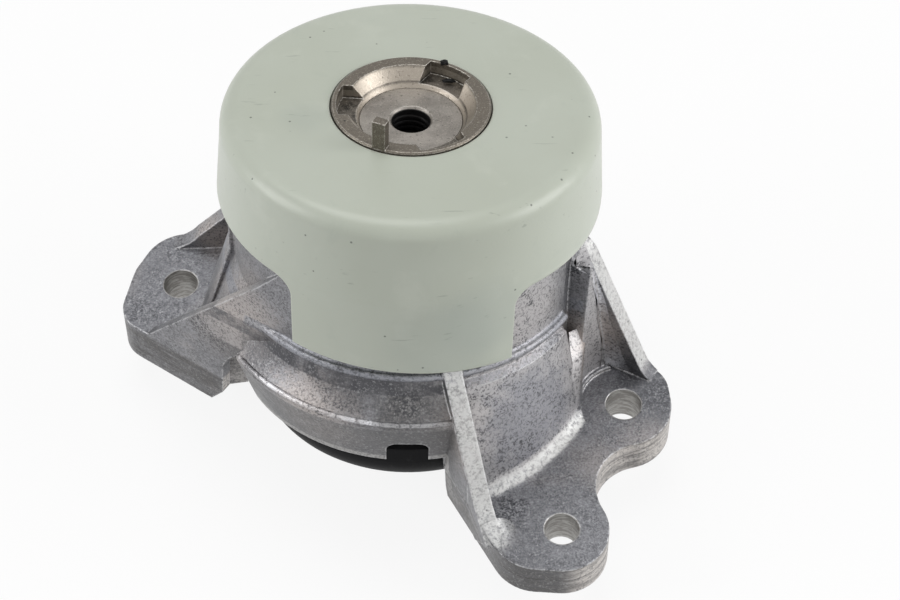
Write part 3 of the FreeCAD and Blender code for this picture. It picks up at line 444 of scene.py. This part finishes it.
def moulded_plastic(name):
    """Matt pale green plastic with faint smudges, rubbed streaks, dark specks and lighter edges as
    painted highlight.
    """
    m = Nodes(name)
    broad = m.noise(0.045, 3, 0.5)
    colour = m.mix(m.ramp(broad, 0.35, 0.7), (0.510, 0.545, 0.470), (0.480, 0.512, 0.435))
    smudge = m.ramp(m.noise(0.013, 5, 0.65, distortion=0.6), 0.56, 0.78, 0, 0.16)
    colour = m.mix(smudge, colour, (0.33, 0.38, 0.33))
    chalk = m.ramp(m.noise(0.018, 4, 0.6, distortion=0.3), 0.58, 0.74, 0, 0.22)
    colour = m.mix(chalk, colour, (0.64, 0.665, 0.59))
    colour = m.spotted(colour, CAP_SMUDGES, 0.2, smudge, (0.26, 0.31, 0.30))
    streaks = m.ramp(m.noise(0.0012, 3, 0.5, where=m.stretched((0.10, 0.9, 1.0))), 0.66, 0.74)
    streaks = m.times(streaks, m.ramp(m.noise(0.016, 2, 0.5), 0.46, 0.56, 0, 0.4))
    colour = m.mix(streaks, colour, (0.22, 0.25, 0.21))
    dots = m.ramp(m.cells(0.0062), 0.062, 0.036)
    dots = m.times(dots, m.ramp(m.noise(0.017, 2, 0.5), 0.44, 0.52, 0, 0.7))
    colour = m.mix(dots, colour, (0.06, 0.065, 0.055))
    # Painted highlight: edges painted a lighter cream.
    colour = m.mix(m.times(m.edges(0.0009), 0.45), colour, (0.74, 0.76, 0.66))
    relief = m.plus(m.noise(0.0006, 4, 0.6), m.times(m.noise(0.012, 2, 0.4), 3.0))
    normal = m.bump(relief, 0.00005, 0.6, m.rounded(0.0007))
    rough = m.ramp(broad, 0.3, 0.7, 0.28, 0.38)
    return m.finish(colour, rough, 0.0, normal, Specular_IOR_Level=0.45)


def plated_casting(name, tone=(0.36, 0.325, 0.275), turned=False):
    """Dull plated metal with a fine grain, darker at its rim, with bright edges that are partly
    rubbed and partly painted highlight, and painted shade in its pocket and in the bore of the
    thread.
    """
    m = Nodes(name)
    fine = m.noise(0.0007, 5, 0.68)
    cloud = m.noise(0.006, 4, 0.6)
    along, level, around = m.in_pot()[1:]
    colour = m.mix(m.ramp(cloud, 0.35, 0.65), tone, scaled(tone, 0.74))
    relief = fine
    if turned:
        rings = m.math("SINE", m.times(around, 9000))
        relief = m.plus(fine, m.times(rings, 0.12))
    else:
        rim = m.times(m.ramp(around, 0.0168, 0.0173), m.ramp(level, 0.0925, 0.0930))
        colour = m.mix(rim, colour, (0.15, 0.132, 0.108))
        wall = m.times(m.ramp(around, 0.0171, 0.0166), m.ramp(along, -0.004, 0.006))
        colour = m.mix(m.times(wall, 0.8), colour, (0.44, 0.39, 0.33))
        # Painted shade: the narrow pocket is painted almost black.
        pocket = m.times(m.band(level, 0.0898, 0.0906), m.ramp(around, 0.0142, 0.0148))
        colour = m.mix(m.times(pocket, m.ramp(cloud, 0.35, 0.55, 0.95, 0.6)), colour,
                       (0.02, 0.018, 0.016))
    glint = m.ramp(m.noise(0.0004, 2, 0.5), 0.54, 0.68, 0, 0.25)
    colour = m.mix(glint, colour, (0.62, 0.57, 0.49))
    specks = m.ramp(fine, 0.43, 0.34, 0, 0.6)
    colour = m.mix(specks, colour, (0.07, 0.062, 0.055))
    crumbs = m.times(m.ramp(m.cells(0.0042), 0.11, 0.06), m.ramp(cloud, 0.5, 0.56))
    colour = m.mix(m.times(crumbs, 0.85), colour, (0.02, 0.02, 0.02))
    # Bright edges: partly rubbed, partly painted highlight.
    edge_wear_and_highlight = m.times(m.edges(0.0004), m.ramp(fine, 0.38, 0.58))
    colour = m.mix(m.times(edge_wear_and_highlight, 0.65), colour, (0.86, 0.83, 0.77))
    if turned:
        # Painted shade: the bore of the thread is painted almost black.
        shaded_bore = m.ramp(around, 0.00535, 0.00515, 0, 0.94)
        colour = m.mix(shaded_bore, colour, (0.012, 0.012, 0.014))
    normal = m.bump(relief, 0.0001, 0.6, m.rounded(0.0005))
    return m.finish(colour, m.ramp(fine, 0.3, 0.7, 0.33, 0.52), 0.75, normal)


def coated_steel(name, tone, roughness, metallic=0.0):
    """Thin coat over sheet steel, dusty in places."""
    m = Nodes(name)
    dust = m.ramp(m.noise(0.006, 5, 0.7), 0.5, 0.8)
    colour = m.mix(m.times(dust, 0.25), tone, tuple(c + 0.12 for c in tone))
    normal = m.bump(m.noise(0.0012, 4, 0.6), 0.00008, 0.4, m.rounded(0.0005))
    rough = m.ramp(dust, 0, 1, roughness, roughness + 0.2)
    return m.finish(colour, rough, metallic, normal, Specular_IOR_Level=0.1)


def moulded_rubber(name):
    """Black rubber with a faint bloom."""
    m = Nodes(name)
    bloom = m.ramp(m.noise(0.004, 5, 0.7), 0.5, 0.8)
    colour = m.mix(m.times(bloom, 0.3), (0.006, 0.006, 0.006), (0.03, 0.03, 0.031))
    normal = m.bump(m.noise(0.0008, 4, 0.6), 0.0001, 0.5)
    rough = m.ramp(bloom, 0, 1, 0.5, 0.75)
    return m.finish(colour, rough, 0.0, normal, Specular_IOR_Level=0.15)


def floor_material():
    """Pale floor, close to white where it is seen or mirrored, that keeps a soft shadow."""
    m = Nodes("floor")
    m.finish((0.94, 0.94, 0.94), 0.9)
    white = m.add("ShaderNodeEmission")
    path = m.add("ShaderNodeLightPath")
    seen = m.math("ADD", path.outputs["Is Camera Ray"], path.outputs["Is Glossy Ray"])
    seen = m.math("ADD", seen, path.outputs["Is Transmission Ray"], clamp=True)
    blend = m.add("ShaderNodeMixShader")
    m.feed(blend.inputs[0], m.times(seen, 0.88))
    m.link(m.shader, "BSDF", blend, 1)
    m.link(white, "Emission", blend, 2)
    m.link(blend, "Shader", m.output, "Surface")
    return m.material


FINISHES = {
    "bracket_housing": cast_aluminium("bracket_casting"),
    "cover_cap": moulded_plastic("cap_plastic"),
    "core": plated_casting("core_casting"),
    "core_insert": plated_casting("insert_turned", (0.34, 0.315, 0.285), turned=True),
    "bottom_cup": coated_steel("cup_coat", (0.005, 0.005, 0.006), 0.5),
    "outer_sleeve": coated_steel("sleeve_coat", (0.10, 0.10, 0.11), 0.5, 0.6),
    "retaining_ring": coated_steel("ring_coat", (0.09, 0.09, 0.09), 0.45, 0.8),
    "bellows_ring": coated_steel("band_coat", (0.12, 0.12, 0.12), 0.45, 0.8),
    "upper_channel_plate": cast_aluminium("upper_plate_casting", (0.38, 0.38, 0.39)),
    "lower_channel_plate": cast_aluminium("lower_plate_casting", (0.38, 0.38, 0.39)),
    "main_spring": moulded_rubber("spring_rubber"),
    "rebound_buffer": moulded_rubber("buffer_rubber"),
    "channel_gasket": moulded_rubber("gasket_rubber"),
    "decoupler_membrane": moulded_rubber("membrane_rubber"),
    "bellows": moulded_rubber("bellows_rubber"),
}
for node, material in FINISHES.items():
    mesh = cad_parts[node].data
    mesh.materials.clear()
    mesh.materials.append(material)


# Small pieces that the solids leave out


def piece(name, mesh, material):
    """A new object that rides on the part."""
    item = bpy.data.objects.new(name, mesh)
    bpy.context.collection.objects.link(item)
    mesh.materials.append(material)
    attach(item, "root")


def smoothed(mesh):
    for face in mesh.polygons:
        face.use_smooth = True
    return mesh


def sheet(name, rows):
    """A smooth sheet through rows of points."""
    mesh = bpy.data.meshes.new(name)
    count = len(rows[0])
    faces = [(i * count + j, (i + 1) * count + j, (i + 1) * count + j + 1, i * count + j + 1)
             for i in range(len(rows) - 1) for j in range(count - 1)]
    mesh.from_pydata([point for row in rows for point in row], [], faces)
    return smoothed(mesh)


def on_pot(radius, angle, level):
    """A point at a radius, an angle in radians and a level in the pot's frame."""
    return POT @ Vector((radius * math.cos(angle), radius * math.sin(angle), level))


def plan(across, along, level):
    """A point given in millimetres of the ground plan round the pot."""
    return Vector((FOOT.x + across / 1000, FOOT.y + along / 1000, level / 1000))


def between(lines, steps):
    """Points part of the way along several lines at once, with how far that is."""
    for index in range(len(lines[0]) - 1):
        for step in range(steps):
            share = step / steps
            yield index, share, [Vector(line[index]).lerp(Vector(line[index + 1]), share)
                                 for line in lines]


def thread(root, crest, pitch, low, high):
    """Crest of the thread in the insert, as a helix on the pot's axis."""
    mesh = bpy.data.meshes.new("thread_crest")
    profile = ((root, -0.36), (crest, -0.06), (crest, 0.06), (root, 0.36))
    steps = 32
    points = []
    faces = []
    for index in range(int((high - low - pitch) / pitch * steps) + 1):
        angle = 2 * math.pi * index / steps
        level = low + pitch / 2 + pitch * index / steps
        points += [on_pot(radius, angle, level + lift * pitch) for radius, lift in profile]
        if index:
            first = 4 * index
            faces += [(first - 4 + corner, first + corner, first + corner + 1, first - 3 + corner)
                      for corner in range(3)]
    mesh.from_pydata(points, [], faces)
    return smoothed(mesh)


def crumb(name, centre, sizes, seed):
    """A small lump of rubber left over from the moulding."""
    mesh = bpy.data.meshes.new(name)
    shape = bmesh.new()
    bmesh.ops.create_icosphere(shape, subdivisions=3, radius=1)
    for vertex in shape.verts:
        lump = noise.noise(vertex.co * 1.7 + Vector((seed, 0, 0)))
        offset = vertex.co * (1 + 0.45 * lump) * Vector(sizes)
        vertex.co = Vector(centre) + POT.to_3x3() @ offset
    shape.to_mesh(mesh)
    shape.free()
    return smoothed(mesh)


def ridge_side():
    """The ridge's left face brought flush with the plate's side."""
    mesh = bpy.data.meshes.new("ridge_side")
    corners = [plan(9.9, -44.4, PLATE), plan(16.5, -57.1, PLATE), plan(12.9, -45.2, PLATE),
               plan(12.9, -46.2, 41.5), plan(16.6, -57.4, 25.0), plan(9.9, -44.4, 18.0)]
    faces = [(0, 1, 4), (0, 4, 3), (0, 3, 5), (0, 2, 1),
             (1, 2, 4), (2, 3, 4), (0, 5, 2), (5, 3, 2)]
    mesh.from_pydata(corners, [], faces)
    return mesh


def ridge_runout():
    """Soft end of the ridge, which runs down into the plate's upper face."""
    start = plan(19.2, -65.6, 0)
    heading = math.radians(-64)
    ahead = Vector((math.cos(heading), math.sin(heading), 0))
    right = Vector((-ahead.y, ahead.x, 0))
    floor_level, crown_height, length, flat = 0.01235, 0.0041, 0.0125, 0.42
    steps, columns = 18, 16
    rows = []
    for i in range(steps + 1):
        u = i / steps
        row = []
        for j in range(-1, columns + 1):
            v = max(j, 0) / columns
            crown = crown_height * (1 - u) ** 2
            if v >= flat:
                crown *= 0.5 + 0.5 * math.cos(math.pi * (v - flat) / (1 - flat))
            width = (0.0005 + 0.0098 * v) * (1 - 0.25 * u) + 0.0040 * u * u
            rise = floor_level if j < 0 else floor_level + 0.00022 * (1 - v) + crown
            row.append(start + ahead * length * u + right * width + Vector((0, 0, rise)))
        rows.append(row)
    return sheet("ridge_runout", rows)


def fin_valley():
    """Hollow run between the flare at the bolt room and the right fin."""
    flare = [(6.0, 55.4, 63.0), (6.2, 54.9, 55.6), (9.8, 53.1, 54.4), (12.2, 53.5, 42.8),
             (12.5, 52.6, 34.8), (14.2, 52.5, 25.2), (14.3, 51.7, 18.8), (14.0, 50.3, PLATE)]
    corner = [(7.6, 56.4, 62.6), (8.0, 56.0, 57.0), (10.4, 56.6, 53.5), (12.7, 55.3, 40.4),
              (13.1, 55.0, 31.3), (14.5, 54.2, 22.8), (14.9, 54.0, 15.8), (15.0, 53.9, PLATE)]
    fin = [(8.8, 57.3, 62.0), (10.2, 56.6, 57.0), (11.0, 56.1, 54.5), (14.4, 54.2, 41.7),
           (16.1, 53.2, 33.6), (18.2, 52.0, 25.6), (20.2, 50.8, 19.0), (22.6, 49.4, PLATE)]
    rows = []
    for _, _, (a, b, c) in between((flare, corner, fin), 6):
        rows.append([a.lerp(b, v / 12).lerp(b.lerp(c, v / 12), v / 12) / 1000 for v in range(13)])
    return sheet("fin_valley", rows)


def groove_end():
    """Swelling that closes the foot of the upright groove beside the flare."""
    left = [(4.4, 49.4, 34.0), (4.6, 46.0, 31.0), (4.8, 43.2, 28.6), (5.0, 41.8, 26.6),
            (5.2, 39.8, 23.0), (5.3, 38.8, 20.4), (5.9, 37.4, 16.2), (6.4, 36.6, PLATE)]
    right = [(7.4, 50.8, 34.0), (8.6, 50.6, 31.0), (9.3, 50.0, 28.6), (9.1, 49.2, 26.6),
             (8.6, 48.1, 23.0), (8.3, 47.2, 20.4), (8.2, 46.0, 16.2), (8.4, 45.2, PLATE)]
    bulge = (0.0, 0.3, 0.9, 1.2, 1.3, 1.3, 1.1, 1.0)
    outward = Vector((0.86, -0.5, 0.1))
    rows = []
    for index, share, (a, b) in between((left, right), 4):
        swell = outward * (bulge[index] + (bulge[index + 1] - bulge[index]) * share)
        rows.append([(a.lerp(b, v / 10) + swell * math.sin(math.pi * v / 10)) / 1000
                     for v in range(11)])
    return sheet("groove_end", rows)


def left_slope():
    """Slope from the pot down to the left flange, carried on as far as the web."""
    web = plan(-78.6, 5.3, 0)
    outward = Vector((-0.58, -0.81, 0.05)).normalized()
    low_r, high_r, low, rise = 0.0604, 0.0474, 0.0130, 0.0370
    first, limit, inside_web = 184.0, 230, -0.0020
    rows = []
    for index in range(25):
        share = index / 24
        radius = low_r + (high_r - low_r) * share
        level = low + rise * share
        last = first
        while last < limit:
            if (on_pot(radius, math.radians(last), level) - web).dot(outward) > inside_web:
                break
            last += 0.5
        rows.append([on_pot(radius, math.radians(first + (last - first) * step / 8), level)
                     for step in range(9)])
    return sheet("left_slope", rows)


def ledge_lip(name, start, end):
    """Rounded lip along the ring's ledge between two angles in degrees, thinner at its ends."""
    rows = []
    count = int((end - start) / 2)
    for index in range(count + 1):
        angle = math.radians(start + (end - start) * index / count)
        radius = LIP_R * min(1, 0.25 + 1.5 * min(index, count - index) / 4)
        rows.append([on_pot(LIP_PATH_R + radius * math.cos(2 * math.pi * step / 12), angle,
                            RING_LEDGE + radius * math.sin(2 * math.pi * step / 12))
                     for step in range(13)])
    return sheet(name, rows)


CASTING = FINISHES["bracket_housing"]
# A much lighter copy of the casting, as painted highlight on the ledge lips and the hollow by the
# fin.
PAINTED_HIGHLIGHT_CASTING = cast_aluminium("painted_highlight_casting", (0.72, 0.72, 0.75))
for shape, material in (
        (fin_valley(), PAINTED_HIGHLIGHT_CASTING), (groove_end(), CASTING),
        (ledge_lip("ledge_lip_front", -150.5, -74), PAINTED_HIGHLIGHT_CASTING),
        (ledge_lip("ledge_lip_rear", -9, 147), PAINTED_HIGHLIGHT_CASTING),
        (left_slope(), CASTING), (ridge_side(), CASTING), (ridge_runout(), CASTING)):
    piece(shape.name, shape, material)
piece("thread_crest", thread(THREAD_ROOT_R, THREAD_CREST_R, THREAD_PITCH, THREAD_START,
                             INSERT_FLOOR - 0.0008), FINISHES["core_insert"])
for label, centre, sizes, seed in (
        ("flash_rear", (-0.0273, 0.1001, 0.0892), (0.0011, 0.0008, 0.0007), 1.0),
        ("flash_left", (-0.0541, 0.0830, 0.0872), (0.0007, 0.0010, 0.0008), 4.0),
        ("flash_low", (-0.0262, 0.0962, 0.0862), (0.0016, 0.0007, 0.0005), 7.0)):
    piece(label, crumb(label, centre, sizes, seed), FINISHES["main_spring"])


# Stage, light and camera

bpy.ops.mesh.primitive_plane_add(size=6, location=(0, 0, cad_box[0][2] - 0.0004))
floor = bpy.context.object
floor.name = "floor"
floor.data.materials.append(floor_material())


def studio_world():
    """Soft light from all round, and plain white where the camera or a mirror looks past it."""
    world = bpy.data.worlds.new("studio")
    bpy.context.scene.world = world
    world.use_nodes = True
    nodes = world.node_tree.nodes
    nodes.clear()
    sky = nodes.new("ShaderNodeBackground")
    sky.inputs["Color"].default_value = (1, 1, 1, 1)
    sky.inputs["Strength"].default_value = 0.22
    plain = nodes.new("ShaderNodeBackground")
    plain.inputs["Strength"].default_value = 1.0
    path = nodes.new("ShaderNodeLightPath")
    mirrored = nodes.new("ShaderNodeMath")
    mirrored.operation = "ADD"
    direct = nodes.new("ShaderNodeMath")
    direct.operation = "ADD"
    direct.use_clamp = True
    switch = nodes.new("ShaderNodeMixShader")
    out = nodes.new("ShaderNodeOutputWorld")
    for source, target in (
            (path.outputs["Is Glossy Ray"], mirrored.inputs[0]),
            (path.outputs["Is Transmission Ray"], mirrored.inputs[1]),
            (path.outputs["Is Camera Ray"], direct.inputs[0]),
            (mirrored.outputs[0], direct.inputs[1]),
            (direct.outputs[0], switch.inputs[0]),
            (sky.outputs[0], switch.inputs[1]),
            (plain.outputs[0], switch.inputs[2]),
            (switch.outputs[0], out.inputs[0])):
        world.node_tree.links.new(source, target)


def lamp(name, place, power, size):
    """A square soft box at a place, aimed at the part's middle."""
    data = bpy.data.lights.new(name, "AREA")
    data.energy = power
    data.size = size
    item = bpy.data.objects.new(name, data)
    item.location = place
    item.rotation_euler = (MIDDLE - Vector(place)).to_track_quat("-Z", "Y").to_euler()
    bpy.context.collection.objects.link(item)


MIDDLE = Vector((-0.04, 0.07, 0.05))
studio_world()
lamp("right", (0.75, -0.05, 0.40), 4.2, 0.5)
lamp("left", (-0.80, 0.0, 0.45), 2.9, 0.5)
lamp("top", (-0.1, 0.35, 0.95), 3.5, 0.6)
lamp("front", (-0.05, -0.80, 0.42), 0.6, 0.5)

camera = bpy.data.cameras.new("camera")
camera.sensor_width = 36
camera.lens = 80
camera.clip_start = 0.01
seat = bpy.data.objects.new("camera", camera)
seat.location = (-0.0279, -0.26785, 0.48277)
seat.rotation_euler = Euler([math.radians(a) for a in (36.2833, 1.1839, -1.6121)], "XYZ")
bpy.context.collection.objects.link(seat)
bpy.context.scene.camera = seat
bpy.context.scene.view_settings.view_transform = "Standard"
